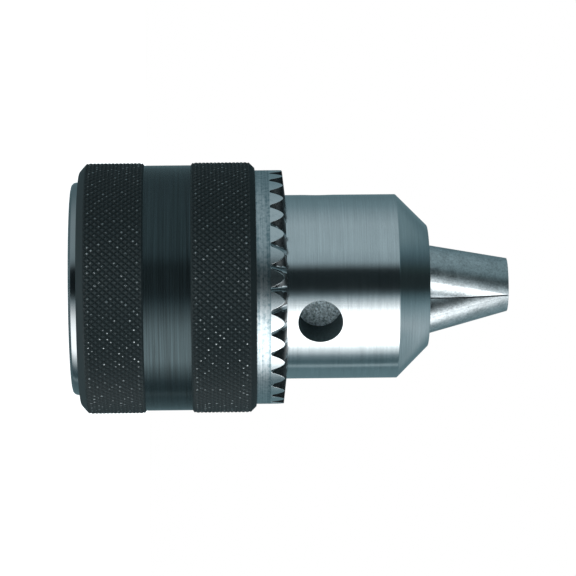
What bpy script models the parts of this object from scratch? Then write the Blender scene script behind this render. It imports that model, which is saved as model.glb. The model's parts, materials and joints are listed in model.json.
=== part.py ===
"""A keyed three-jaw drill chuck, standing on its rear face with its jaws up and closed.

The frame is in metres, +Z is the chuck's axis towards the jaws, and the origin is the centre of
the rear face. The sleeve, the toothed ring and the two halves of the nut turn together about +Z.
The nut's conical thread then draws the three jaws back along their inclined bores.
"""

import math

import bmesh
import bpy
from mathutils import Matrix, Vector

MM = 0.001

# The whole chuck
TIP_Z = 80.0 * MM
SEGMENTS = 48

# Jaws: inclined round rods that meet on the axis when closed
JAW_ANGLES = tuple(math.radians(a) for a in (-30, 90, 210))
JAW_TILT = math.radians(15.5)
JAW_RADIUS = 5.25 * MM
JAW_TIP_OFFSET = -0.635 * MM
JAW_TAIL_Z = 31.5 * MM
JAW_HALF_SEAM = 0.08 * MM
JAW_SIDES = 24
OPENING_RADIUS = 5.0 * MM

# Body: flange, rear cylinder, nut groove, front cylinder, cone and nose
FLANGE_RADIUS = 19.55 * MM
FLANGE_EDGE = 1.0 * MM
FLANGE_FRONT_Z = 10.0 * MM
REAR_RADIUS = 18.6 * MM
GROOVE_REAR_Z = 28.3 * MM
GROOVE_FRONT_Z = 36.3 * MM
GROOVE_RADIUS = 14.4 * MM
FRONT_RADIUS = 16.9 * MM
CONE_START_Z = 59.5 * MM
NOSE_RADIUS = 11.1 * MM
NOSE_Z = CONE_START_Z + FRONT_RADIUS - NOSE_RADIUS
DRILL_BORE_RADIUS = 5.5 * MM
DRILL_BORE_FLOOR_Z = 20.0 * MM
SCREW_HOLE_RADIUS = 3.3 * MM
SOCKET_RADIUS = 5.75 * MM
SOCKET_DEPTH = 16.0 * MM
SOCKET_MOUTH = 1.0 * MM
JAW_BORE_RADIUS = 5.5 * MM
JAW_BORE_END_Z = 12.2 * MM

# Key holes: midway between the jaws
KEY_HOLE_RADIUS = 4.05 * MM
KEY_HOLE_Z = 45.2 * MM
KEY_HOLE_DEPTH = 7.9 * MM
KEY_HOLE_SIDES = 24

# Thread: teeth on the jaws and a conical ridge in the nut, in a jaw's own frame
PITCH = 2.2 * MM
TOOTH_ROOT = 3.2 * MM
RIDGE_CREST = 3.8 * MM
NUT_BORE = 5.6 * MM
RIDGE_ROOT = 5.9 * MM
GROOVE_HALF_WIDTH = 0.53 * MM
FLANK_SLOPE = math.tan(math.radians(12))
FLANK_GAP = 0.45 * MM
TEETH_START = 27.6 * MM
STEPS_PER_TURN = 48

# Nut
NUT_RADIUS = 20.2 * MM
NUT_REAR_Z = 28.6 * MM
NUT_FRONT_Z = 36.0 * MM
NUT_HALF_GAP = 0.15 * MM
NUT_MARGIN = 1.6 * MM

# Toothed ring
RING_RADIUS = 21.5 * MM
RING_BORE = 17.15 * MM
RING_SKIRT_BORE = 20.45 * MM
RING_REAR_Z = 30.0 * MM
RING_CREST_Z = 38.7 * MM
RING_INNER_CREST_Z = 39.2 * MM
RING_SEGMENTS = 66
TOOTH_COUNT = 33
GAP_ROOT_Z = 36.3 * MM
GAP_ROOT_SLOPE = 0.68
GAP_TOP_WIDTH = 2.5 * MM
GAP_ROOT_WIDTH = 0.9 * MM
FIRST_GAP_ANGLE = math.radians(8.7)

# Grip sleeve
KNURL_RADIUS = 23.0 * MM
BAND_RADIUS = 22.53 * MM
SLEEVE_REAR_Z = 1.5 * MM
SLEEVE_FRONT_Z = 33.7 * MM
SLEEVE_LIP_BORE = 19.85 * MM
SLEEVE_BORE = 21.8 * MM
BAND_REAR_Z = 13.5 * MM
BAND_FRONT_Z = 22.0 * MM
KNURL_CHAMFER = 0.35 * MM

STEEL = (0.56, 0.60, 0.62)
DARK_STEEL = (0.36, 0.39, 0.41)
BLACK = (0.022, 0.027, 0.029)


def clear_scene():
    for obj in list(bpy.data.objects):
        bpy.data.objects.remove(obj)


def material(name, colour, roughness, metallic):
    made = bpy.data.materials.new(name)
    made.use_nodes = True
    shader = made.node_tree.nodes["Principled BSDF"]
    shader.inputs["Base Color"].default_value = (*colour, 1.0)
    shader.inputs["Roughness"].default_value = roughness
    shader.inputs["Metallic"].default_value = metallic
    return made


def add_object(name, bm, finish=None):
    """Makes an object of the bmesh. With no finish it is a cutter, which is hidden."""
    bmesh.ops.recalc_face_normals(bm, faces=bm.faces)
    mesh = bpy.data.meshes.new(name)
    bm.to_mesh(mesh)
    bm.free()
    mesh.shade_smooth()
    mesh.set_sharp_from_angle(angle=math.radians(30))
    obj = bpy.data.objects.new(name, mesh)
    bpy.context.scene.collection.objects.link(obj)
    if finish:
        mesh.materials.append(finish)
    else:
        obj.hide_render = True
        obj.display_type = "WIRE"
    return obj


def boolean(obj, cutter, operation="DIFFERENCE"):
    made = obj.modifiers.new(f"{operation.lower()} {cutter.name}", "BOOLEAN")
    made.operation = operation
    made.object = cutter


def turned(profile, segments=SEGMENTS):
    """A closed profile of (radius, z) points, turned all the way round +Z."""
    bm = bmesh.new()
    points = [bm.verts.new((radius, 0.0, z)) for radius, z in profile]
    edges = [bm.edges.new((a, b)) for a, b in zip(points, points[1:] + points[:1])]
    bmesh.ops.spin(
        bm,
        geom=points + edges,
        cent=(0, 0, 0),
        axis=(0, 0, 1),
        angle=math.tau,
        steps=segments,
        use_merge=True,
    )
    return bm


def rounded(centre, radii, start, end, steps):
    """Profile points along an arc, with its angles in degrees from the outward direction."""
    angles = [math.radians(start + (end - start) * i / steps) for i in range(steps + 1)]
    return [
        (centre[0] + radii[0] * math.cos(a), centre[1] + radii[1] * math.sin(a)) for a in angles
    ]


def rod(radius, low, high, sides, turn=Matrix()):
    """A closed round rod along Z from low to high, then turned by a matrix."""
    bm = bmesh.new()
    bmesh.ops.create_cone(
        bm, cap_ends=True, segments=sides, radius1=radius, radius2=radius, depth=high - low
    )
    bmesh.ops.translate(bm, vec=(0, 0, (high + low) / 2), verts=bm.verts)
    bmesh.ops.transform(bm, matrix=turn, verts=bm.verts)
    return bm


def prism(bm, rear, front):
    """Adds a closed solid between two outlines that have the same number of corners."""
    rear = [bm.verts.new(point) for point in rear]
    front = [bm.verts.new(point) for point in front]
    bm.faces.new(rear[::-1])
    bm.faces.new(front)
    for i in range(len(rear)):
        j = (i + 1) % len(rear)
        bm.faces.new((rear[i], rear[j], front[j], front[i]))


def trim(bm, point, normal):
    """Cuts away what lies beyond a plane, on the normal's side, and closes the cut."""
    cut = bmesh.ops.bisect_plane(
        bm,
        geom=bm.verts[:] + bm.edges[:] + bm.faces[:],
        dist=1e-7,
        plane_co=point,
        plane_no=normal,
        clear_outer=True,
    )
    edges = [item for item in cut["geom_cut"] if isinstance(item, bmesh.types.BMEdge)]
    bmesh.ops.contextual_create(bm, geom=edges)


def jaw_frame(angle):
    """A jaw's own frame: +Z forward along the jaw, +X outward, on its axis at the tip plane."""
    place = Matrix.Translation((JAW_TIP_OFFSET, 0, TIP_Z))
    return Matrix.Rotation(angle, 4, "Z") @ place @ Matrix.Rotation(-JAW_TILT, 4, "Y")


def back_along_jaw(z):
    """How far back along the jaw's axis the height z lies, from the tip plane."""
    return (TIP_Z - z) / math.cos(JAW_TILT)


def thread_shift(angle):
    """How far back along the jaw the thread lies at an angle round the chuck."""
    return -PITCH * angle / math.tau


def make_body(finish):
    """The body, with its jaw bores and key holes cut by Booleans."""
    profile = [
        (SOCKET_RADIUS + SOCKET_MOUTH, 0.0),
        *rounded((FLANGE_RADIUS - FLANGE_EDGE, FLANGE_EDGE), (FLANGE_EDGE,) * 2, -90, 0, 3),
        (FLANGE_RADIUS, FLANGE_FRONT_Z),
        (REAR_RADIUS, FLANGE_FRONT_Z),
        (REAR_RADIUS, GROOVE_REAR_Z),
        (GROOVE_RADIUS, GROOVE_REAR_Z),
        (GROOVE_RADIUS, GROOVE_FRONT_Z),
        (FRONT_RADIUS, GROOVE_FRONT_Z),
        (FRONT_RADIUS, CONE_START_Z),
        (NOSE_RADIUS, NOSE_Z),
        (DRILL_BORE_RADIUS, NOSE_Z),
        (DRILL_BORE_RADIUS, DRILL_BORE_FLOOR_Z),
        (SCREW_HOLE_RADIUS, DRILL_BORE_FLOOR_Z),
        (SCREW_HOLE_RADIUS, SOCKET_DEPTH),
        (SOCKET_RADIUS, SOCKET_DEPTH),
        (SOCKET_RADIUS, SOCKET_MOUTH),
    ]
    body = add_object("chuck_body", turned(profile), finish)
    past_nose = back_along_jaw(NOSE_Z) - 5 * MM
    for number, angle in enumerate(JAW_ANGLES, 1):
        bore = rod(
            JAW_BORE_RADIUS, -back_along_jaw(JAW_BORE_END_Z), -past_nose, JAW_SIDES, jaw_frame(angle)
        )
        boolean(body, add_object(f"cut_jaw_bore_{number}", bore))
        across = Matrix.Rotation(angle + math.pi, 4, "Z") @ Matrix.Rotation(math.pi / 2, 4, "Y")
        hole = rod(
            KEY_HOLE_RADIUS,
            FRONT_RADIUS - KEY_HOLE_DEPTH,
            FRONT_RADIUS + 2 * MM,
            KEY_HOLE_SIDES,
            Matrix.Translation((0, 0, KEY_HOLE_Z)) @ across,
        )
        boolean(body, add_object(f"cut_key_hole_{number}", hole))


def jaw_teeth(angle):
    """A rack of closed wedges, one for each gap between teeth, in the jaw's own frame."""
    bm = bmesh.new()
    outside = JAW_RADIUS + 0.6 * MM
    top = GROOVE_HALF_WIDTH + (outside - TOOTH_ROOT) * FLANK_SLOPE
    side = JAW_RADIUS + 1 * MM
    first = math.ceil((TEETH_START - thread_shift(angle)) / PITCH)
    last = math.floor((back_along_jaw(JAW_TAIL_Z) + top - thread_shift(angle)) / PITCH)
    for count in range(first, last + 1):
        z = -(thread_shift(angle) + count * PITCH)
        outline = [
            (TOOTH_ROOT, z - GROOVE_HALF_WIDTH),
            (TOOTH_ROOT, z + GROOVE_HALF_WIDTH),
            (outside, z + top),
            (outside, z - top),
        ]
        prism(bm, [(x, -side, z) for x, z in outline], [(x, side, z) for x, z in outline])
    return bm


def make_jaw(number, angle, finish):
    """A rod cut flat at its tip, to a wedge where the jaws meet, and round where it would
    touch the sleeve's bore with the chuck fully open."""
    frame = jaw_frame(0)
    bm = rod(JAW_RADIUS, -back_along_jaw(JAW_TAIL_Z), 5 * MM, JAW_SIDES, frame)
    trim(bm, (0, 0, TIP_Z), (0, 0, 1))
    for side in (-1, 1):
        normal = Vector((-math.sin(math.pi / 3), side * math.cos(math.pi / 3), 0))
        trim(bm, -normal * JAW_HALF_SEAM, normal)
    clear_radius = SLEEVE_BORE - 0.3 * MM
    for lean in (-7, 0, 7):
        normal = Vector((math.cos(math.radians(lean)), math.sin(math.radians(lean)), 0))
        trim(bm, Vector((-OPENING_RADIUS, 0, 0)) + normal * clear_radius, normal)
    bmesh.ops.transform(bm, matrix=frame.inverted(), verts=bm.verts)
    jaw = add_object(f"jaw_{number}", bm, finish)
    teeth = add_object(f"cut_jaw_teeth_{number}", jaw_teeth(angle))
    boolean(jaw, teeth)
    for obj in (jaw, teeth):
        place = jaw_frame(angle)
        obj.location = place.to_translation()
        obj.rotation_euler = place.to_euler()


def conical_bore(z):
    """The nut's bore radius at a height: it follows the outer side of the jaws."""
    return JAW_TIP_OFFSET + (TIP_Z - z) * math.tan(JAW_TILT) + NUT_BORE / math.cos(JAW_TILT)


def nut_thread():
    """The thread's ridge: one section swept along a conical helix, closed at both ends."""
    half_width = GROOVE_HALF_WIDTH - FLANK_GAP
    section = [
        (RIDGE_CREST, half_width + (RIDGE_CREST - TOOTH_ROOT) * FLANK_SLOPE),
        (RIDGE_ROOT, half_width + (RIDGE_ROOT - TOOTH_ROOT) * FLANK_SLOPE),
    ]
    outline = section + [(x, -width) for x, width in reversed(section)]
    first = back_along_jaw(NUT_FRONT_Z + NUT_MARGIN)
    turns = (back_along_jaw(NUT_REAR_Z - NUT_MARGIN) - first) / PITCH
    steps = round(turns * STEPS_PER_TURN)
    bm = bmesh.new()
    rings = []
    for step in range(steps + 1):
        angle = -math.tau * step / STEPS_PER_TURN
        back = math.ceil(first / PITCH) * PITCH + thread_shift(angle)
        frame = jaw_frame(angle)
        rings.append([bm.verts.new(frame @ Vector((x, 0, -back - z))) for x, z in outline])
    bm.faces.new(rings[0])
    bm.faces.new(rings[-1][::-1])
    for ring, following in zip(rings, rings[1:]):
        for i in range(len(outline)):
            j = (i + 1) % len(outline)
            bm.faces.new((ring[i], ring[j], following[j], following[i]))
    return bm


def make_nut(finish):
    """The nut, split in two halves along the plane through the axis and +Y."""
    rear = NUT_REAR_Z - NUT_MARGIN
    front = NUT_FRONT_Z + NUT_MARGIN
    profile = [
        (NUT_RADIUS, rear),
        (NUT_RADIUS, front),
        (conical_bore(front), front),
        (conical_bore(rear), rear),
    ]
    thread = add_object("cut_nut_thread", nut_thread())
    for number, side in enumerate((1, -1), 1):
        half = add_object(f"nut_half_{number}", turned(profile), finish)
        boolean(half, thread, "UNION")
        near = side * NUT_HALF_GAP
        far = side * (NUT_RADIUS + NUT_MARGIN)
        reach = NUT_RADIUS + NUT_MARGIN
        outline = [(near, -reach), (far, -reach), (far, reach), (near, reach)]
        bm = bmesh.new()
        prism(bm, [(x, y, NUT_REAR_Z) for x, y in outline], [(x, y, NUT_FRONT_Z) for x, y in outline])
        boolean(half, add_object(f"keep_nut_half_{number}", bm), "INTERSECT")


def ring_gaps():
    """One closed wedge for each gap between the ring's teeth. They narrow towards the axis."""
    bm = bmesh.new()
    inner = RING_BORE - 1 * MM
    outer = RING_RADIUS + 1 * MM
    top = RING_INNER_CREST_Z + 1 * MM
    spread = (GAP_TOP_WIDTH - GAP_ROOT_WIDTH) / (RING_CREST_Z - GAP_ROOT_Z)
    for count in range(TOOTH_COUNT):
        turn = Matrix.Rotation(FIRST_GAP_ANGLE + math.tau * count / TOOTH_COUNT, 4, "Z")
        outlines = []
        for radius in (inner, outer):
            root = GAP_ROOT_Z + (RING_RADIUS - radius) * GAP_ROOT_SLOPE
            scale = radius / RING_RADIUS
            low = GAP_ROOT_WIDTH * scale / 2
            high = low + (top - root) * spread / 2
            corners = [(low, root), (high, top), (-high, top), (-low, root)]
            outlines.append([turn @ Vector((radius, y, z)) for y, z in corners])
        prism(bm, *outlines)
    return bm


def make_ring(finish):
    """The bevel-toothed ring, with a skirt that goes into the sleeve and round the nut."""
    step_z = NUT_FRONT_Z + 0.3 * MM
    edge = 0.25 * MM
    profile = [
        (RING_SKIRT_BORE, RING_REAR_Z),
        (RING_RADIUS, RING_REAR_Z),
        (RING_RADIUS, RING_CREST_Z),
        (RING_BORE + edge, RING_INNER_CREST_Z),
        (RING_BORE, RING_INNER_CREST_Z - edge),
        (RING_BORE, step_z),
        (RING_SKIRT_BORE, step_z),
    ]
    ring = add_object("toothed_ring", turned(profile, RING_SEGMENTS), finish)
    boolean(ring, add_object("cut_ring_gaps", ring_gaps()))


def make_sleeve(finish):
    """The grip sleeve: a thin shell with a lip at the rear and a recessed band in the middle."""
    rear_round = 2.1 * MM
    rear_depth = 1.35 * MM
    step = KNURL_CHAMFER
    bore_rear_z = FLANGE_FRONT_Z + 0.8 * MM
    profile = [
        (SLEEVE_LIP_BORE, SLEEVE_REAR_Z),
        *rounded(
            (FLANGE_RADIUS + 0.65 * MM, SLEEVE_REAR_Z + rear_depth), (rear_round, rear_depth), -90, 0, 4
        ),
        (KNURL_RADIUS, SLEEVE_REAR_Z + rear_depth + step),
        (KNURL_RADIUS, BAND_REAR_Z - step),
        (BAND_RADIUS, BAND_REAR_Z),
        (BAND_RADIUS, BAND_FRONT_Z),
        (KNURL_RADIUS, BAND_FRONT_Z + step),
        (KNURL_RADIUS, SLEEVE_FRONT_Z - 1.1 * MM),
        (SLEEVE_BORE + 0.1 * MM, SLEEVE_FRONT_Z),
        (SLEEVE_BORE, SLEEVE_FRONT_Z),
        (SLEEVE_BORE, bore_rear_z),
        (SLEEVE_LIP_BORE, bore_rear_z),
    ]
    add_object("grip_sleeve", turned(profile), finish)


def main():
    clear_scene()
    make_body(material("turned_steel", STEEL, 0.28, 1.0))
    jaw_steel = material("ground_steel", STEEL, 0.25, 1.0)
    for number, angle in enumerate(JAW_ANGLES, 1):
        make_jaw(number, angle, jaw_steel)
    make_nut(material("hardened_steel", DARK_STEEL, 0.4, 1.0))
    make_ring(material("machined_steel", STEEL, 0.3, 1.0))
    make_sleeve(material("blackened_steel", BLACK, 0.4, 0.6))


main()
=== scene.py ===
"""The looks of a keyed three-jaw drill chuck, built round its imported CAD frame.

The chuck stands on its rear face with its jaws up. The turned body, the ground jaws, the bevel
toothed ring and the knurled sleeve are modelled here. The two halves of the nut are the frame's
own solids with a better finish.
"""

import json
import math

import bmesh
import bpy
from bpy.props import FloatProperty, FloatVectorProperty, IntProperty, PointerProperty
from mathutils import Matrix, Vector


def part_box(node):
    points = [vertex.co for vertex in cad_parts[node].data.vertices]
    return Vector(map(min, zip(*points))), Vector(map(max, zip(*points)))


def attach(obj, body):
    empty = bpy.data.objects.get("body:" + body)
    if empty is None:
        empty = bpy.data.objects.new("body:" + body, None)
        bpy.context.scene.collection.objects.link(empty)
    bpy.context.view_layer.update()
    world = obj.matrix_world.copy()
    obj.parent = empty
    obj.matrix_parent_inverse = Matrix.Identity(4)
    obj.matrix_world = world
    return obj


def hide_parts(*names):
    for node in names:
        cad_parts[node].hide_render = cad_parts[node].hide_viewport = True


bl_info = {
    "name": "Drill chuck",
    "version": (1, 0, 0),
    "blender": (4, 5, 0),
    "location": "View3D > Sidebar > Chuck",
    "description": "Builds the visible pieces of a keyed drill chuck round its frame",
    "category": "Object",
}

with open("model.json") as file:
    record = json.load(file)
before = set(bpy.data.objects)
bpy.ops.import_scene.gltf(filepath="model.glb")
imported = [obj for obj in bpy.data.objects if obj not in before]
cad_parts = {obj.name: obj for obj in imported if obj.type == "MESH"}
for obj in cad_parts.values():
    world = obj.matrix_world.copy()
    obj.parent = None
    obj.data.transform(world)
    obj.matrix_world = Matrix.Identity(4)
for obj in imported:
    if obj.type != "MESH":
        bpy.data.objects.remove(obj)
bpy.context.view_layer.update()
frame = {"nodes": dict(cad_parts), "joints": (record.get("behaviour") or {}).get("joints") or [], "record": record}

MM = 0.001
KEY_HOLE_ANGLES = tuple(math.radians(a) for a in (-90, 30, 150))
JAW_AXES = [Vector(joint["axis"]) for joint in frame["joints"] if joint["type"] == "slide"]
JAW_ANGLES = [math.atan2(axis.y, axis.x) for axis in JAW_AXES]
JAW_TILT = math.asin(math.hypot(JAW_AXES[0].x, JAW_AXES[0].y))
THREAD_PITCH = frame["record"]["behaviour"]["couplings"][0]["ratio"] * math.tau

BODY_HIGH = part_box("chuck_body")[1]
RING_LOW, RING_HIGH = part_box("toothed_ring")
SLEEVE_LOW, SLEEVE_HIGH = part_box("grip_sleeve")
TIP_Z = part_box("jaw_1")[1].z
TAIL_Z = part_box("jaw_1")[0].z
PAST_TIPS = 5.0 * MM
JAW_SHARP = 24.0
BROKEN_EDGE = 0.15 * MM


# --- Properties: the sizes and colours that a user would change ---


def length(name, description, millimetres):
    return FloatProperty(
        name=name, description=description, default=millimetres * MM, min=0.0, unit="LENGTH"
    )


def colour(name, description, default):
    return FloatVectorProperty(
        name=name, description=description, default=default, size=3, min=0.0, subtype="COLOR"
    )


class BodySizes(bpy.types.PropertyGroup):
    front_radius: length("Front radius", "Radius of the front cylinder", 16.9)
    nose_radius: length("Nose radius", "Radius where the cone meets the nose", 11.1)
    rear_radius: length("Rear radius", "Radius behind the nut groove", 18.6)
    flange_front: length("Flange front", "Height of the front of the rear flange", 10.0)
    groove_rear: length("Groove rear", "Height of the rear wall of the nut groove", 28.3)
    groove_front: length("Groove front", "Height of the front wall of the nut groove", 36.3)
    groove_radius: length("Groove radius", "Radius of the floor of the nut groove", 14.4)
    bore_radius: length("Bore radius", "Radius of the central drill bore", 5.5)
    bore_floor: length("Bore floor", "Height of the floor of the drill bore", 20.0)
    screw_radius: length("Screw hole radius", "Radius of the retaining screw's hole", 3.3)
    socket_radius: length("Socket radius", "Radius of the plain spindle socket", 5.75)
    socket_depth: length("Socket depth", "Depth of the spindle socket", 16.0)
    jaw_bore_radius: length("Jaw bore radius", "Radius of the inclined jaw bores", 5.5)
    jaw_bore_end: length("Jaw bore end", "Height at which the jaw bores end", 12.2)
    key_hole_radius: length("Key hole radius", "Radius of the key's pilot holes", 4.05)
    key_hole_height: length("Key hole height", "Height of the pilot holes", 45.2)
    key_hole_depth: length("Key hole depth", "Depth of the pilot holes", 7.9)
    segments: IntProperty(name="Segments", description="Sides of a turned piece", default=240)


class JawSizes(bpy.types.PropertyGroup):
    radius: length("Radius", "Radius of a jaw's rod", 5.25)
    tip_offset: length("Tip offset", "How far past the axis a rod's centre is at the tips", 0.635)
    half_seam: length("Half seam", "Half of the gap between closed jaws", 0.11)
    edge: length("Edge", "Width of the broken edges", 0.16)
    edge_start: length("Edge start", "Height above which the edges are broken", 45.0)
    tooth_root: length("Tooth root", "Distance of the teeth's roots from the rod's centre", 3.2)
    root_width: length("Root width", "Width of a gap at its root", 1.06)
    teeth_start: length("Teeth start", "Distance of the first tooth behind the tips", 27.6)
    opening: length("Opening", "How far a jaw moves outward", 5.0)
    clear_radius: length("Clear radius", "Radius that the tails stay within when open", 21.5)


class RingSizes(bpy.types.PropertyGroup):
    bore: length("Bore", "Radius of the bore round the body", 17.15)
    skirt_bore: length("Skirt bore", "Radius of the bore round the nut", 20.45)
    step: length("Step", "Height of the step between the two bores", 36.3)
    tooth_depth: length("Tooth depth", "Depth of a gap at the rim", 2.42)
    crest: length("Crest", "Height of the teeth at the rim", 38.7)
    crest_rise: length("Crest rise", "How much higher the teeth are at the bore than the rim", 0.5)
    teeth: IntProperty(name="Teeth", description="Number of bevel teeth", default=33)
    first_gap: FloatProperty(
        name="First gap",
        description="Angle of the first gap between teeth",
        default=math.radians(8.7),
        subtype="ANGLE",
    )


class SleeveSizes(bpy.types.PropertyGroup):
    band_radius: length("Band radius", "Radius of the smooth band", 22.53)
    band_rear: length("Band rear", "Height of the rear edge of the smooth band", 13.5)
    band_front: length("Band front", "Height of the front edge of the smooth band", 22.0)
    knurl_depth: length("Knurl depth", "Depth of the knurl", 0.36)
    knurl_row: length("Knurl row", "Distance between rows of points", 0.68)
    bore: length("Bore", "Radius of the bore", 21.8)
    lip_bore: length("Lip bore", "Radius of the bore of the rear lip", 19.85)
    lip_front: length("Lip front", "Height of the front of the rear lip", 10.8)
    knurl_start: length("Knurl start", "How far in front of its rear end the knurl starts", 1.5)
    blunting: length("Blunting", "How much the points of the knurl are blunted", 0.08)
    points: IntProperty(name="Points", description="Knurl points round the sleeve", default=125)


class Colours(bpy.types.PropertyGroup):
    steel: colour("Steel", "Bright turned steel", (0.57, 0.61, 0.63))
    ground: colour("Ground steel", "Steel of the jaws", (0.60, 0.64, 0.66))
    hard: colour("Hardened steel", "Steel of the nut", (0.34, 0.37, 0.39))
    black: colour("Black", "Blackened steel", (0.015, 0.0225, 0.0245))
    # Also used for the lighter tone of the knurls' rubbed points and the painted sheen on the sleeve's smooth rear
    # edge.
    sheen: colour("Sheen", "Brushed marks of the black finish", (0.040, 0.062, 0.069))
    floor: colour("Floor", "The pale floor", (0.9, 0.91, 0.92))


class ChuckLook(bpy.types.PropertyGroup):
    body: PointerProperty(type=BodySizes)
    jaws: PointerProperty(type=JawSizes)
    ring: PointerProperty(type=RingSizes)
    sleeve: PointerProperty(type=SleeveSizes)
    colours: PointerProperty(type=Colours)


# --- Shaders: sockets with arithmetic, and a finish that makes nodes ---


class Wire:
    """An output socket. Arithmetic on it adds Math nodes to its tree."""

    def __init__(self, finish, socket):
        self.finish = finish
        self.socket = socket

    def math(self, operation, *others):
        return self.finish.math(operation, self, *others)

    def __add__(self, other):
        return self.math("ADD", other)

    def __sub__(self, other):
        return self.math("SUBTRACT", other)

    def __rsub__(self, other):
        return self.finish.math("SUBTRACT", other, self)

    def __mul__(self, other):
        return self.math("MULTIPLY", other)

    def __truediv__(self, other):
        return self.math("DIVIDE", other)

    def __rtruediv__(self, other):
        return self.finish.math("DIVIDE", other, self)

    def __pow__(self, other):
        return self.math("POWER", other)

    def __rpow__(self, other):
        return self.finish.math("POWER", other, self)

    __radd__ = __add__
    __rmul__ = __mul__

    def between(self, low, high):
        """0 below low, 1 above high, and a straight ramp between. High may be the lower one."""
        return ((self - low) / (high - low)).math("MAXIMUM", 0.0).math("MINIMUM", 1.0)


class Finish:
    """A node tree under construction."""

    def __init__(self, tree):
        self.tree = tree
        tree.nodes.clear()

    def node(self, kind, settings=None, values=None, output=0):
        """Adds a node: its settings first, then the values or links of its sockets."""
        made = self.tree.nodes.new(kind)
        for key, value in (settings or {}).items():
            if key == "stops":
                set_stops(made.color_ramp, value)
            else:
                setattr(made, key, value)
        for key, value in (values or {}).items():
            if isinstance(value, Wire):
                self.tree.links.new(value.socket, made.inputs[key])
            else:
                made.inputs[key].default_value = value
        return Wire(self, made.outputs[output]) if made.outputs else None

    def math(self, operation, *values):
        """A Math node on links or numbers."""
        return self.node("ShaderNodeMath", {"operation": operation}, dict(enumerate(values)))

    def mix(self, factor, first, second):
        """A mix of two colours, each a link or three numbers."""
        values = {"Factor": factor, 6: opaque(first), 7: opaque(second)}
        return self.node("ShaderNodeMix", {"data_type": "RGBA"}, values, output=2)

    def point(self):
        """The object coordinates."""
        return self.node("ShaderNodeTexCoord", output=3)

    def place(self):
        """The object coordinates x, y and z, and the distance from the axis."""
        parts = self.node("ShaderNodeSeparateXYZ", None, {0: self.point()}).socket.node
        x, y, z = (Wire(self, socket) for socket in parts.outputs)
        return x, y, z, (x * x + y * y) ** 0.5

    def noise(self, vector, scale, detail=2.0, roughness=0.5, w=None):
        settings = {"noise_dimensions": "3D" if w is None else "4D"}
        values = {"Vector": vector, "Scale": scale, "Detail": detail, "Roughness": roughness}
        if w is not None:
            values["W"] = w
        return self.node("ShaderNodeTexNoise", settings, values)

    def turning_marks(self, fineness, along=1.2):
        """Noise drawn out round the axis, as a lathe tool leaves it. Fineness is marks a metre."""
        x, y, z, radius = self.place()
        around = {0: x / radius * along, 1: y / radius * along, 2: z * fineness}
        vector = self.node("ShaderNodeCombineXYZ", None, around)
        return self.noise(vector, 1.0, detail=4.0, roughness=0.65, w=radius * fineness)

    def bump(self, height, strength, distance):
        values = {"Strength": strength, "Distance": distance, "Height": height}
        return self.node("ShaderNodeBump", None, values)

    def surface(self, values):
        shader = self.node("ShaderNodeBsdfPrincipled", None, values)
        self.node("ShaderNodeOutputMaterial", None, {"Surface": shader})


def opaque(value):
    return value if isinstance(value, Wire) else (*value, 1.0)


def set_stops(ramp, stops):
    """Gives a ramp its stops, each a place from 0 to 1 and a colour."""
    while len(ramp.elements) < len(stops):
        ramp.elements.new(1.0)
    for element, (place, value) in zip(ramp.elements, stops):
        element.position = place
        element.color = (*value, 1.0)


def shaded(tone, share):
    """A tone made darker or lighter, no lighter than white."""
    return tuple(min(1.0, channel * share) for channel in tone)


def new_finish(name):
    material = bpy.data.materials.new(name)
    material.use_nodes = True
    return material, Finish(material.node_tree)


def turned_steel(name, tone, fineness=5200.0, roughness=0.13, marks=0.16):
    """Bright steel with the fine rings of a lathe tool, faint stains and a dull rear end."""
    material, finish = new_finish(name)
    rings = finish.turning_marks(fineness)
    coarse = finish.turning_marks(fineness * 0.16, along=2.5)
    _, _, z, _ = finish.place()
    stains = finish.noise(finish.point(), 180.0, detail=5.0)
    grain = finish.noise(finish.point(), 5200.0, detail=2.0)
    bright, dull, at_ends = (shaded(tone, share) for share in (1.12, 0.80, 0.55))
    # The last 2 to 3 mm of the rear end are darker, down to 0.55 of the tone.
    rear = z.between(3.0 * MM, 2.0 * MM)
    shade = (rings * 0.5 + coarse * 0.3 + grain * 0.2).between(0.32, 0.68)
    height = rings * 0.6 + grain * 0.25 + coarse * 0.3
    finish.surface(
        {
            "Base Color": finish.mix(rear, finish.mix(shade, dull, bright), at_ends),
            "Metallic": 1.0,
            "Roughness": (stains - 0.5) * 0.06 + shade * 0.04 + roughness,
            "Normal": finish.bump(height, marks, 0.02 * MM),
        }
    )
    return material


def lined_steel(name, tone, lined_below):
    """Steel with coarse dark lines round it below a height, and smoother above it."""
    material, finish = new_finish(name)
    _, _, z, _ = finish.place()
    lines = finish.turning_marks(4200.0, along=0.8)
    grain = finish.noise(finish.point(), 1500.0, detail=4.0, roughness=0.7)
    lined = z.between(lined_below, lined_below - 0.15 * MM)
    # A faint darker stripe round the ring below the gaps: painted shade of a shallow groove that the shape lacks.
    groove_middle = lined_below - 0.4 * MM
    groove = (z - groove_middle).math("ABSOLUTE").between(0.45 * MM, 0.2 * MM)
    stain = (lines * 0.65 + grain * 0.35).between(0.36, 0.60)
    smooth = shaded(tone, 0.98)
    dull = (tone[0] * 0.3, tone[1] * 0.4, tone[2] * 0.43)
    shade = (1.0 - stain) * lined + (1.0 - grain.between(0.25, 0.5)) * 0.3 + groove * 0.25
    finish.surface(
        {
            "Base Color": finish.mix(shade.math("MINIMUM", 1.0), smooth, dull),
            "Metallic": 1.0,
            "Roughness": lined * 0.1 + 0.22,
            "Normal": finish.bump(lines * lined + grain * 0.3, 0.4, 0.02 * MM),
        }
    )
    return material


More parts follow.
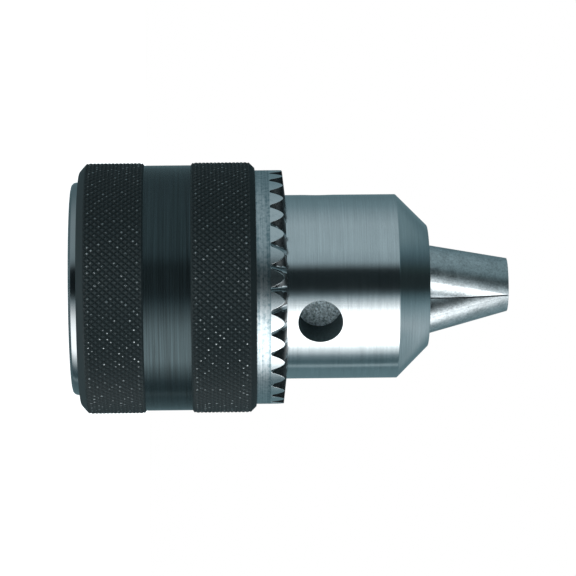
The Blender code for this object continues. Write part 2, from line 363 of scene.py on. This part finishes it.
def ground_steel(name, tone):
    """Satin steel with an uneven grain and dark flecks, as the jaws have."""
    material, finish = new_finish(name)
    point = finish.point()
    grain = finish.noise(point, 2600.0, detail=4.0, roughness=0.7)
    patches = finish.noise(point, 420.0, detail=4.0)
    flecks = finish.noise(point, 1300.0, detail=3.0, roughness=0.8)
    bright, dull, pit = (shaded(tone, share) for share in (1.15, 0.6, 0.3))
    shade = (grain * 0.65 + patches * 0.35).between(0.36, 0.62)
    pitted = flecks.between(0.62, 0.72) * 0.7
    finish.surface(
        {
            "Base Color": finish.mix(pitted, finish.mix(shade, dull, bright), pit),
            "Metallic": 1.0,
            "Roughness": grain * 0.16 + patches * 0.12 + 0.18,
            "Normal": finish.bump(grain * 0.6 + flecks * 0.4, 0.6, 0.05 * MM),
        }
    )
    return material


def drilled_steel(name, dull, bright):
    """The rough steel that a drill leaves in a hole, mottled between two tones. The callers give a hole's wall
    near-black tones as painted shade and its floor pale tones as painted light.
    """
    material, finish = new_finish(name)
    grain = finish.noise(finish.point(), 2600.0, detail=4.0, roughness=0.7)
    finish.surface(
        {
            "Base Color": finish.mix(grain.between(0.38, 0.62), dull, bright),
            "Metallic": 0.2,
            "Roughness": grain * 0.2 + 0.5,
            "Specular IOR Level": 0.15,
            "Normal": finish.bump(grain, 0.6, 0.06 * MM),
        }
    )
    return material


def black_knurl(name, tone, sheen, crest, ends):
    """Blackened steel with bare metal on some points of the knurls, mostly beside their ends."""
    material, finish = new_finish(name)
    _, _, z, radius = finish.place()
    luck = finish.noise(finish.point(), 1100.0, detail=1.0)
    grain = finish.noise(finish.point(), 6000.0, detail=2.0)
    at_ends = sum((z - end).math("ABSOLUTE").between(1.1 * MM, 0.3 * MM) * 0.11 for end in ends)
    tip = radius.between(crest - 0.06 * MM, crest - 0.02 * MM)
    bare = tip * (luck + at_ends).between(0.58, 0.66)
    bare_tone = (0.25, 0.28, 0.29)
    # Painted sheen: the smooth rear edge behind the knurl is tinted lighter. The points near the crests are
    # lighter from real rubbing.
    painted_sheen_behind_knurl = z.between(ends[0], ends[0] - 0.3 * MM) * 0.15
    rubbed_tips_and_painted_sheen = radius.between(crest - 0.2 * MM, crest) * 0.16 + painted_sheen_behind_knurl
    finish.surface(
        {
            "Base Color": finish.mix(bare, finish.mix(rubbed_tips_and_painted_sheen, tone, sheen), bare_tone),
            "Metallic": bare,
            "Roughness": 0.5 - bare * 0.34 + grain * 0.06,
            "Specular IOR Level": 0.15,
            "Normal": finish.bump(grain, 0.2, 0.02 * MM),
        }
    )
    return material


def black_band(name, tone, sheen):
    """Blackened steel brushed round the axis, so that it shows fine rings."""
    material, finish = new_finish(name)
    rings = finish.turning_marks(2400.0, along=1.0)
    fine = finish.turning_marks(7000.0, along=1.0)
    marks = rings * 0.5 + fine * 0.5
    shade = marks.between(0.36, 0.64)
    finish.surface(
        {
            "Base Color": finish.mix(shade, tone, sheen),
            "Metallic": 0.7,
            "Specular IOR Level": 0.3,
            "Roughness": 0.22 - shade * 0.05,
            "Normal": finish.bump(marks, 0.2, 0.02 * MM),
        }
    )
    return material


def teeth_painted_shade(name, tone):
    """The steel of the teeth's tops, flanks and cut gaps, made dull and dark: painted shade."""
    material, finish = new_finish(name)
    grain = finish.noise(finish.point(), 3200.0, detail=3.0, roughness=0.6)
    # Tones of 7 to 16 percent of the steel: painted shade.
    dull, bright = (shaded(tone, share) for share in (0.07, 0.16))
    finish.surface(
        {
            "Base Color": finish.mix(grain.between(0.36, 0.66), dull, bright),
            "Metallic": 1.0,
            "Roughness": grain * 0.2 + 0.3,
            "Normal": finish.bump(grain, 0.3, 0.03 * MM),
        }
    )
    return material


# --- Shapes ---


def turned(profile, segments):
    """Turns a closed profile round +Z. Each point is a radius, a height and a corner round."""
    bm = bmesh.new()
    points = [bm.verts.new((radius, 0.0, z)) for radius, z, _ in profile]
    for first, second in zip(points, points[1:] + points[:1]):
        bm.edges.new((first, second))
    for point, (_, _, corner) in zip(points, profile):
        if corner:
            round_corner(bm, point, corner)
    bmesh.ops.spin(
        bm,
        geom=bm.verts[:] + bm.edges[:],
        cent=(0, 0, 0),
        axis=(0, 0, 1),
        angle=math.tau,
        steps=segments,
        use_merge=True,
    )
    return bm


def round_corner(bm, point, size):
    bmesh.ops.bevel(
        bm,
        geom=[point],
        offset=size,
        segments=3,
        profile=0.5,
        affect="VERTICES",
        material=-1,
    )


def rod(radius, low, high, sides, turn):
    """A closed round rod along Z from low to high, then turned by a matrix."""
    bm = bmesh.new()
    bmesh.ops.create_cone(
        bm, cap_ends=True, segments=sides, radius1=radius, radius2=radius, depth=high - low
    )
    bmesh.ops.translate(bm, vec=(0, 0, (high + low) / 2), verts=bm.verts)
    bmesh.ops.transform(bm, matrix=turn, verts=bm.verts)
    return bm


def trim(bm, point, normal):
    """Cuts away what lies beyond a plane, on the normal's side, and closes the cut."""
    cut = bmesh.ops.bisect_plane(
        bm,
        geom=bm.verts[:] + bm.edges[:] + bm.faces[:],
        dist=1e-8,
        plane_co=point,
        plane_no=normal,
        clear_outer=True,
    )
    edges = [item for item in cut["geom_cut"] if isinstance(item, bmesh.types.BMEdge)]
    bmesh.ops.contextual_create(bm, geom=edges)


def new_object(name, bm):
    """Makes an object of the bmesh at the origin, with its faces pointing outwards."""
    bmesh.ops.remove_doubles(bm, verts=bm.verts, dist=1e-7)
    bmesh.ops.recalc_face_normals(bm, faces=bm.faces)
    mesh = bpy.data.meshes.new(name)
    bm.to_mesh(mesh)
    bm.free()
    made = bpy.data.objects.new(name, mesh)
    bpy.context.scene.collection.objects.link(made)
    return made


def carve(piece, cutters):
    """Cuts each bmesh from the piece for good."""
    made = [new_object(f"cutter_{i}", bm) for i, bm in enumerate(cutters)]
    for cutter in made:
        cut = piece.modifiers.new("cut", "BOOLEAN")
        cut.object = cutter
        cut.solver = "EXACT"
    bpy.context.view_layer.update()
    graph = bpy.context.evaluated_depsgraph_get()
    carved = bpy.data.meshes.new_from_object(piece.evaluated_get(graph))
    carved.materials.clear()
    piece.modifiers.clear()
    piece.data = carved
    for cutter in made:
        bpy.data.objects.remove(cutter)


def finish_piece(piece, materials, body, replaces, sharp=30.0):
    """Shades the piece, gives it its materials and ties it to the frame."""
    for material in materials:
        piece.data.materials.append(material)
    piece.data.shade_smooth()
    piece.data.set_sharp_from_angle(angle=math.radians(sharp))
    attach(piece, body)
    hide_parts(replaces)


def jaw_frame(angle, tip_offset):
    """A jaw's own frame: +Z forward along the jaw, +X outward, on its axis at the tip plane."""
    place = Matrix.Translation((-tip_offset, 0, TIP_Z))
    return Matrix.Rotation(angle, 4, "Z") @ place @ Matrix.Rotation(-JAW_TILT, 4, "Y")


def back_along_jaw(z):
    """How far back along the jaw's axis the height z lies, from the tip plane."""
    return (TIP_Z - z) / math.cos(JAW_TILT)


# --- Operators: one for each piece or group of like pieces, and one for the stage ---


class CHUCK_OT_body(bpy.types.Operator):
    """Turns the body, bores it for the jaws and drills its key holes"""

    bl_idname = "chuck.body"
    bl_label = "Turned body"

    def execute(self, context):
        look = context.scene.chuck_look
        sizes = look.body
        body = new_object("turned_body", turned(self.profile(sizes), sizes.segments))
        carve(body, self.cutters(sizes, look.jaws.tip_offset))
        # Key holes: the walls get painted shade and the floors get painted light.
        for face in body.data.polygons:
            face.material_index = self.key_hole_part(face.center, sizes)
        steel = look.colours.steel
        materials = [
            turned_steel("turned_steel", steel),
            # Painted shade: the key holes' walls are near-black.
            drilled_steel("bored_wall_painted_shade", (0.05, 0.075, 0.08), (0.09, 0.13, 0.14)),
            # Painted light: the key holes' floors are mottled far paler than their walls.
            drilled_steel("drilled_floor_painted_light", (0.18, 0.25, 0.27), (0.78, 0.91, 0.96)),
        ]
        finish_piece(body, materials, "body", "chuck_body")
        return {"FINISHED"}

    def profile(self, sizes):
        flange = BODY_HIGH.x
        nose_z = BODY_HIGH.z
        cone_z = nose_z - (sizes.front_radius - sizes.nose_radius)
        mouth = 1.0 * MM
        relief = 0.06 * MM
        flange_corner = 1.0 * MM
        floor_corner = 0.5 * MM
        corner = 0.3 * MM
        cone_corner = 0.12 * MM
        return [
            (sizes.socket_radius + mouth, 0.0, BROKEN_EDGE),
            (flange - 2.2 * MM, 0.0, 0.0),
            (flange - 2.0 * MM, relief, 0.0),
            (flange, 0.0, flange_corner),
            (flange, sizes.flange_front, corner),
            (sizes.rear_radius, sizes.flange_front, 0.0),
            (sizes.rear_radius, sizes.groove_rear, corner),
            (sizes.groove_radius, sizes.groove_rear, corner),
            (sizes.groove_radius, sizes.groove_front, corner),
            (sizes.front_radius, sizes.groove_front, corner),
            (sizes.front_radius, cone_z, cone_corner),
            (sizes.nose_radius, nose_z, cone_corner),
            (sizes.bore_radius, nose_z, BROKEN_EDGE),
            (sizes.bore_radius, sizes.bore_floor, floor_corner),
            (sizes.screw_radius, sizes.bore_floor, BROKEN_EDGE),
            (sizes.screw_radius, sizes.socket_depth, BROKEN_EDGE),
            (sizes.socket_radius, sizes.socket_depth, BROKEN_EDGE),
            (sizes.socket_radius, mouth, 0.0),
        ]

    def cutters(self, sizes, tip_offset):
        """A rod for each jaw's bore and for each key hole."""
        sides = 72
        end = back_along_jaw(sizes.jaw_bore_end)
        past_nose = PAST_TIPS - back_along_jaw(BODY_HIGH.z)
        made = []
        for angle in JAW_ANGLES:
            turn = jaw_frame(angle, tip_offset)
            made.append(rod(sizes.jaw_bore_radius, -end, past_nose, sides, turn))
        low = sizes.front_radius - sizes.key_hole_depth
        high = sizes.front_radius + 2.0 * MM
        raised = Matrix.Translation((0, 0, sizes.key_hole_height))
        outward = Matrix.Rotation(math.pi / 2, 4, "Y")
        for angle in KEY_HOLE_ANGLES:
            turn = raised @ Matrix.Rotation(angle, 4, "Z") @ outward
            made.append(rod(sizes.key_hole_radius, low, high, sides, turn))
        return made

    def key_hole_part(self, point, sizes):
        """The material of a face: 1 on a key hole's wall, 2 on its floor, otherwise 0."""
        near = 0.05 * MM
        if math.hypot(point.x, point.y) > sizes.front_radius - near:
            return 0
        for angle in KEY_HOLE_ANGLES:
            turned_back = Matrix.Rotation(-angle, 3, "Z") @ point
            across = math.hypot(turned_back.y, turned_back.z - sizes.key_hole_height)
            height = turned_back.x - (sizes.front_radius - sizes.key_hole_depth)
            if height > -near and across < sizes.key_hole_radius + near:
                return 1 if height > near else 2
        return 0


class CHUCK_OT_jaws(bpy.types.Operator):
    """Makes the three jaws: ground rods with a wedge at the tip and teeth at the tail"""

    bl_idname = "chuck.jaws"
    bl_label = "Jaws"

    def execute(self, context):
        look = context.scene.chuck_look
        steel = ground_steel("ground_steel", look.colours.ground)
        bodies = [joint["child"] for joint in frame["joints"] if joint["type"] == "slide"]
        for number, (angle, body) in enumerate(zip(JAW_ANGLES, bodies), 1):
            blank = self.blank(look.jaws)
            turn = Matrix.Rotation(angle, 4, "Z")
            bmesh.ops.transform(blank, matrix=turn, verts=blank.verts)
            jaw = new_object(f"ground_jaw_{number}", blank)
            carve(jaw, [self.rack(look.jaws, angle)])
            finish_piece(jaw, [steel], body, f"jaw_{number}", sharp=JAW_SHARP)
        return {"FINISHED"}

    def tail(self, sizes):
        """How far back along the jaw its tail lies, from the tip plane."""
        return back_along_jaw(TAIL_Z + sizes.radius * math.sin(JAW_TILT))

    def blank(self, sizes):
        """A jaw along +X, without its teeth and with its long edges broken."""
        turn = jaw_frame(0.0, sizes.tip_offset)
        bm = rod(sizes.radius, -self.tail(sizes), PAST_TIPS, 96, turn)
        trim(bm, (0, 0, TIP_Z), (0, 0, 1))
        for side in (-1, 1):
            normal = Vector((-math.sin(math.pi / 3), side * math.cos(math.pi / 3), 0))
            trim(bm, -normal * sizes.half_seam, normal)
        axis_when_open = Vector((-sizes.opening, 0, 0))
        for lean in (-7, -3.5, 0, 3.5, 7):
            normal = Matrix.Rotation(math.radians(lean), 3, "Z") @ Vector((1, 0, 0))
            trim(bm, axis_when_open + normal * sizes.clear_radius, normal)
        edges = [
            edge
            for edge in bm.edges
            if edge.calc_face_angle(0) > math.radians(JAW_SHARP)
            and min(vert.co.z for vert in edge.verts) > sizes.edge_start
        ]
        bmesh.ops.bevel(
            bm,
            geom=edges,
            offset=sizes.edge,
            segments=2,
            profile=0.5,
            affect="EDGES",
            material=-1,
            clamp_overlap=True,
        )
        return bm

    def rack(self, sizes, angle):
        """A closed wedge for each gap between the teeth, shifted by the jaw's share of a turn."""
        bm = bmesh.new()
        outside = sizes.radius + 0.6 * MM
        side = sizes.radius + 1.0 * MM
        flank = math.tan(math.radians(12))
        half_root = sizes.root_width / 2
        half_top = half_root + (outside - sizes.tooth_root) * flank
        shift = -THREAD_PITCH * angle / math.tau
        first = math.ceil((sizes.teeth_start - shift) / THREAD_PITCH)
        last = math.floor((self.tail(sizes) + half_top - shift) / THREAD_PITCH)
        for count in range(first, last + 1):
            middle = -(shift + count * THREAD_PITCH)
            wedge = [
                (sizes.tooth_root, middle - half_root),
                (sizes.tooth_root, middle + half_root),
                (outside, middle + half_top),
                (outside, middle - half_top),
            ]
            face = bm.faces.new([bm.verts.new((x, -side, z)) for x, z in wedge])
            made = bmesh.ops.extrude_face_region(bm, geom=[face])
            moved = [item for item in made["geom"] if isinstance(item, bmesh.types.BMVert)]
            bmesh.ops.translate(bm, vec=(0, 2 * side, 0), verts=moved)
        turn = jaw_frame(angle, sizes.tip_offset)
        bmesh.ops.transform(bm, matrix=turn, verts=bm.verts)
        return bm


class CHUCK_OT_ring(bpy.types.Operator):
    """Turns the toothed ring and shapes its bevel teeth"""

    bl_idname = "chuck.ring"
    bl_label = "Toothed ring"

    def execute(self, context):
        look = context.scene.chuck_look
        sizes = look.ring
        steps_a_tooth = 36
        bm = turned(self.profile(sizes), sizes.teeth * steps_a_tooth)
        self.shape_teeth(bm, sizes)
        ring = new_object("bevel_toothed_ring", bm)
        for face in ring.data.polygons:
            # The teeth's tops, flanks and gaps get the painted shade material.
            face.material_index = int(self.faces_front(face.center, face.normal))
        steel = look.colours.steel
        materials = [
            lined_steel("machined_steel", steel, sizes.crest - sizes.tooth_depth),
            # Painted shade of the teeth and the gaps between them.
            teeth_painted_shade("teeth_painted_shade", steel),
        ]
        finish_piece(ring, materials, "collar", "toothed_ring", sharp=28.0)
        return {"FINISHED"}

    def profile(self, sizes):
        rim = RING_HIGH.x
        crest = sizes.crest
        top = crest + sizes.crest_rise
        corner = 0.08 * MM
        hold = 0.16 * MM
        across = rim - sizes.bore
        slope = sizes.crest_rise / across
        return [
            (sizes.skirt_bore, RING_LOW.z, BROKEN_EDGE),
            (rim, RING_LOW.z, BROKEN_EDGE),
            (rim, crest - hold, 0.0),
            (rim, crest, corner),
            (rim - hold, crest + hold * slope, 0.0),
            *((rim - across * part, crest + across * part * slope, 0.0) for part in (0.3, 0.6)),
            (sizes.bore + hold, top - hold * slope, 0.0),
            (sizes.bore, top, corner),
            (sizes.bore, top - hold, 0.0),
            (sizes.bore, sizes.step, BROKEN_EDGE),
            (sizes.skirt_bore, sizes.step, 0.0),
        ]

    def from_gap(self, point, sizes):
        """How far round a point is from a gap's middle, from 0 to 1 on the tooth's crest."""
        place = (math.atan2(point.y, point.x) - sizes.first_gap) * sizes.teeth / math.tau
        return abs(place - round(place)) * 2

    def shape_teeth(self, bm, sizes):
        """Lowers the top of the ring between the teeth. A gap runs out towards the bore."""
        under_top = 0.5 * MM
        run_out = sizes.bore + 0.25 * MM
        full_depth = run_out + (RING_HIGH.x - sizes.bore) / 1.07
        for vert in [v for v in bm.verts if v.co.z > sizes.crest - under_top]:
            radius = math.hypot(vert.co.x, vert.co.y)
            share = min(1.0, max(0.0, (radius - run_out) / (full_depth - run_out)))
            height = self.tooth_height(self.from_gap(vert.co, sizes))
            vert.co.z -= sizes.tooth_depth * share * (1 - height)

    def tooth_height(self, from_gap):
        """The height of the tooth's outline, from 0 in a gap's root to 1 on the crest."""
        root = 0.17
        low = 0.03
        roundness = 1.8
        if from_gap < root:
            return low * (from_gap / root) ** 2
        rise = (from_gap - root) / (1 - root)
        return low + (1 - low) * (1 - (1 - rise) ** roundness)

    def faces_front(self, point, normal):
        """Whether a face is part of the teeth's tops, flanks or gaps, and not of the outside."""
        outward = (normal.x * point.x + normal.y * point.y) / math.hypot(point.x, point.y)
        return normal.z > 0.05 and abs(outward) < 0.4


class CHUCK_OT_sleeve(bpy.types.Operator):
    """Turns the grip sleeve and rolls its two diamond knurls"""

    bl_idname = "chuck.sleeve"
    bl_label = "Grip sleeve"

    def execute(self, context):
        look = context.scene.chuck_look
        sizes = look.sleeve
        bm = turned(self.profile(sizes), sizes.points * 2)
        self.roll_knurl(bm, sizes)
        sleeve = new_object("knurled_sleeve", bm)
        near = 0.02 * MM
        for face in sleeve.data.polygons:
            band = sizes.band_rear - near < face.center.z < sizes.band_front + near
            outside = math.hypot(face.center.x, face.center.y) > sizes.bore + 0.3 * MM
            face.material_index = int(band and outside)
        tone = look.colours.black
        sheen = look.colours.sheen
        materials = [
            black_knurl("black_knurl", tone, sheen, SLEEVE_HIGH.x, self.ends(sizes)),
            black_band("black_band", tone, sheen),
        ]
        finish_piece(sleeve, materials, "collar", "grip_sleeve", sharp=25.0)
        return {"FINISHED"}

    def rows(self, low, high, sizes):
        """The heights of the rows of a knurl that fills the space from low to high."""
        count = round((high - low) / sizes.knurl_row)
        return [low + (high - low) * i / count for i in range(count + 1)]

    def ends(self, sizes):
        """The heights at which the knurls start and end, from the rear."""
        beside_band = 0.3 * MM
        return (
            SLEEVE_LOW.z + sizes.knurl_start,
            sizes.band_rear - beside_band,
            sizes.band_front + beside_band,
            SLEEVE_HIGH.z - 1.05 * MM,
        )

    def knurls(self, sizes):
        """The rows of the rear and the front knurl."""
        ends = self.ends(sizes)
        return self.rows(*ends[:2], sizes), self.rows(*ends[2:], sizes)

    def profile(self, sizes):
        crest = SLEEVE_HIGH.x + sizes.blunting
        rear, front = self.knurls(sizes)
        low = SLEEVE_LOW.z
        thin_edge = 0.1 * MM
        lip_corner = 0.2 * MM
        rear_corner = 0.35 * MM
        return [
            (sizes.lip_bore, low, thin_edge),
            (crest - 1.8 * MM, low, rear_corner),
            (crest - 0.95 * MM, low + 0.7 * MM, rear_corner),
            (crest - 0.3 * MM, low + 1.3 * MM, 0.0),
            *((crest, z, 0.0) for z in rear),
            (sizes.band_radius, sizes.band_rear, 0.0),
            (sizes.band_radius, sizes.band_front, 0.0),
            *((crest, z, 0.0) for z in front),
            (sizes.bore + 0.12 * MM, SLEEVE_HIGH.z, thin_edge),
            (sizes.bore, SLEEVE_HIGH.z, 0.0),
            (sizes.bore, sizes.lip_front, lip_corner),
            (sizes.lip_bore, sizes.lip_front, lip_corner),
        ]

    def roll_knurl(self, bm, sizes):
        """Presses every second point in, splits the faces between them and blunts the crests."""
        crest = SLEEVE_HIGH.x + sizes.blunting
        step = math.pi / sizes.points
        end_depth = 0.12 * MM
        pressed, raised = [], []
        for rows in self.knurls(sizes):
            gap = rows[1] - rows[0]
            zone = [
                vert
                for vert in bm.verts
                if rows[0] - 0.1 * gap < vert.co.z < rows[-1] + 0.1 * gap
                and math.hypot(vert.co.x, vert.co.y) > crest - 0.05 * MM
            ]
            for vert in zone:
                row = round((vert.co.z - rows[0]) / gap)
                column = round(math.atan2(vert.co.y, vert.co.x) / step)
                if (row + column) % 2:
                    self.press(vert, sizes.knurl_depth, crest)
                    pressed.append(vert)
                elif row in (0, len(rows) - 1):
                    self.press(vert, end_depth, crest)
                else:
                    raised.append(vert)
        bmesh.ops.connect_verts(bm, verts=pressed)
        bmesh.ops.bevel(
            bm,
            geom=raised,
            offset=0.16 * MM,
            segments=1,
            profile=0.5,
            affect="VERTICES",
            material=-1,
        )

    def press(self, vert, depth, crest):
        """Moves a point of the crest towards the axis."""
        vert.co.x *= 1 - depth / crest
        vert.co.y *= 1 - depth / crest


class CHUCK_OT_nut(bpy.types.Operator):
    """Gives the two halves of the nut their hardened finish"""

    bl_idname = "chuck.nut"
    bl_label = "Nut halves"

    def execute(self, context):
        tone = context.scene.chuck_look.colours.hard
        steel = turned_steel("hardened_steel", tone, fineness=2800.0, roughness=0.34, marks=0.4)
        for name in ("nut_half_1", "nut_half_2"):
            half = frame["nodes"][name]
            half.data.materials.clear()
            half.data.materials.append(steel)
        return {"FINISHED"}


class CHUCK_OT_stage(bpy.types.Operator):
    """Sets up the pale floor, the soft studio light and the camera"""

    bl_idname = "chuck.stage"
    bl_label = "Stage"

    def execute(self, context):
        self.make_floor(context.scene.chuck_look.colours.floor)
        self.make_light(context.scene)
        self.make_camera(context.scene)
        context.scene.view_settings.view_transform = "Standard"
        return {"FINISHED"}

    def facing(self):
        """The direction to the camera, and the directions that are up and down in the view."""
        azimuth = math.radians(-112.5)
        toward = Vector((math.cos(azimuth), math.sin(azimuth), 0))
        up = toward.cross(Vector((0, 0, 1)))
        return toward, up, -up

    def make_floor(self, tone):
        bm = bmesh.new()
        bmesh.ops.create_circle(bm, cap_ends=True, segments=96, radius=600 * MM)
        bmesh.ops.translate(bm, vec=(0, 0, -0.05 * MM), verts=bm.verts)
        floor = new_object("floor", bm)
        material, finish = new_finish("floor_paint")
        mottle = finish.noise(finish.point(), 6.0)
        finish.surface(
            {
                "Base Color": finish.mix(mottle, shaded(tone, 0.985), tone),
                "Roughness": 0.8,
                "Emission Color": (1.0, 1.0, 1.0, 1.0),
                "Emission Strength": 1.0,
            }
        )
        floor.data.materials.append(material)
        floor.visible_glossy = False

    def make_light(self, scene):
        """A studio of soft panels round the chuck, as bands of light by direction."""
        world = bpy.data.worlds.new("studio")
        scene.world = world
        world.use_nodes = True
        finish = Finish(world.node_tree)
        direction = finish.node("ShaderNodeTexCoord", output=0)
        toward, _, down = self.facing()

        def along(axis):
            settings = {"operation": "DOT_PRODUCT"}
            return finish.node("ShaderNodeVectorMath", settings, {0: direction, 1: axis}, output=1)

        front, side, rise = along(toward), along(down), along(Vector((0, 0, 1)))
        turn = side.math("ARCTAN2", front) / math.tau + 0.5
        stops = [((degrees + 180) / 360, tone) for degrees, tone in self.round_bands()]
        around = finish.node("ShaderNodeValToRGB", {"stops": stops}, {0: turn})
        stops = [((across + 1) / 2, tone) for across, tone in self.top_bands()]
        top = finish.node("ShaderNodeValToRGB", {"stops": stops}, {0: side * 0.5 + 0.5})
        panels = finish.mix(rise.between(0.35, 0.75), around, top)
        plain = (1.0, 1.0, 1.0, 1.0)
        seen = finish.node("ShaderNodeLightPath", output=0)
        studio = finish.node("ShaderNodeBackground", None, {"Color": panels, "Strength": 3.2})
        backdrop = finish.node("ShaderNodeBackground", None, {"Color": plain, "Strength": 1.0})
        shader = finish.node("ShaderNodeMixShader", None, {0: seen, 1: studio, 2: backdrop})
        finish.node("ShaderNodeOutputWorld", None, {"Surface": shader})

    def round_bands(self):
        """Stops round the axis: degrees from the camera, positive downwards in the view."""
        dark = (0.005, 0.0075, 0.0082)
        return [
            (-180, (0.040, 0.066, 0.074)),
            (-149, (0.044, 0.070, 0.078)),
            (-120, (0.069, 0.100, 0.110)),
            (-100, (0.107, 0.138, 0.148)),
            (-84, (0.134, 0.166, 0.176)),
            (-46, (0.138, 0.172, 0.182)),
            (-31, (0.116, 0.146, 0.156)),
            (-21, dark),
            (4, dark),
            (10, (0.03, 0.042, 0.046)),
            (15, (0.13, 0.16, 0.17)),
            (24, (0.36, 0.38, 0.385)),
            (37, (0.80, 0.81, 0.81)),
            (50, (1.0, 1.0, 1.0)),
            (72, (1.0, 1.0, 1.0)),
            (84, (0.42, 0.45, 0.455)),
            (97, (0.07, 0.095, 0.105)),
            (107, (0.025, 0.044, 0.050)),
            (114, (0.030, 0.052, 0.058)),
            (118, (0.16, 0.20, 0.21)),
            (122, (0.042, 0.068, 0.076)),
            (135, (0.050, 0.080, 0.088)),
            (180, (0.040, 0.066, 0.074)),
        ]

    def top_bands(self):
        """Stops across the top: from -1, up in the view, to 1, down in the view."""
        dark = (0.0065, 0.0098, 0.0103)
        return [
            (-1, (0.05, 0.08, 0.09)),
            (-0.49, (0.065, 0.095, 0.103)),
            (-0.385, (0.038, 0.062, 0.070)),
            (-0.298, (0.021, 0.035, 0.040)),
            (-0.2, (0.0095, 0.0155, 0.0155)),
            (-0.12, dark),
            (0.045, dark),
            (0.131, (0.027, 0.045, 0.050)),
            (0.238, (0.068, 0.100, 0.110)),
            (0.333, (0.110, 0.145, 0.155)),
            (0.43, (0.155, 0.185, 0.195)),
            (0.5, (0.110, 0.145, 0.155)),
            (1, (0.07, 0.1, 0.11)),
        ]

    def make_camera(self, scene):
        toward, up, down = self.facing()
        axis = Vector((0, 0, 1))
        lowered = down * 0.22 * MM
        aim = axis * 39.7 * MM + lowered
        place = toward * 595 * MM + axis * 27.5 * MM + lowered
        back = (place - aim).normalized()
        roll = math.radians(-0.54)
        upward = Matrix.Rotation(roll, 3, back) @ up
        data = bpy.data.cameras.new("camera")
        data.lens = 201.9
        data.sensor_width = 36.0
        data.clip_start = 0.05
        camera = bpy.data.objects.new("camera", data)
        scene.collection.objects.link(camera)
        turn = Matrix((upward.cross(back), upward, back)).transposed().to_4x4()
        camera.matrix_world = Matrix.Translation(place) @ turn
        scene.camera = camera


class CHUCK_PT_panel(bpy.types.Panel):
    """Lists the steps that build the chuck"""

    bl_idname = "CHUCK_PT_panel"
    bl_label = "Drill chuck"
    bl_space_type = "VIEW_3D"
    bl_region_type = "UI"
    bl_category = "Chuck"

    def draw(self, context):
        for operator in OPERATORS:
            self.layout.operator(operator.bl_idname)


GROUPS = (BodySizes, JawSizes, RingSizes, SleeveSizes, Colours, ChuckLook)
OPERATORS = (
    CHUCK_OT_stage,
    CHUCK_OT_body,
    CHUCK_OT_jaws,
    CHUCK_OT_ring,
    CHUCK_OT_sleeve,
    CHUCK_OT_nut,
)


def register():
    for made in (*GROUPS, *OPERATORS, CHUCK_PT_panel):
        bpy.utils.register_class(made)
    bpy.types.Scene.chuck_look = PointerProperty(type=ChuckLook)


def unregister():
    del bpy.types.Scene.chuck_look
    for made in reversed((*GROUPS, *OPERATORS, CHUCK_PT_panel)):
        bpy.utils.unregister_class(made)


def main():
    register()
    bpy.ops.chuck.stage()
    bpy.ops.chuck.body()
    bpy.ops.chuck.jaws()
    bpy.ops.chuck.ring()
    bpy.ops.chuck.sleeve()
    bpy.ops.chuck.nut()


if __name__ == "__main__":
    main()
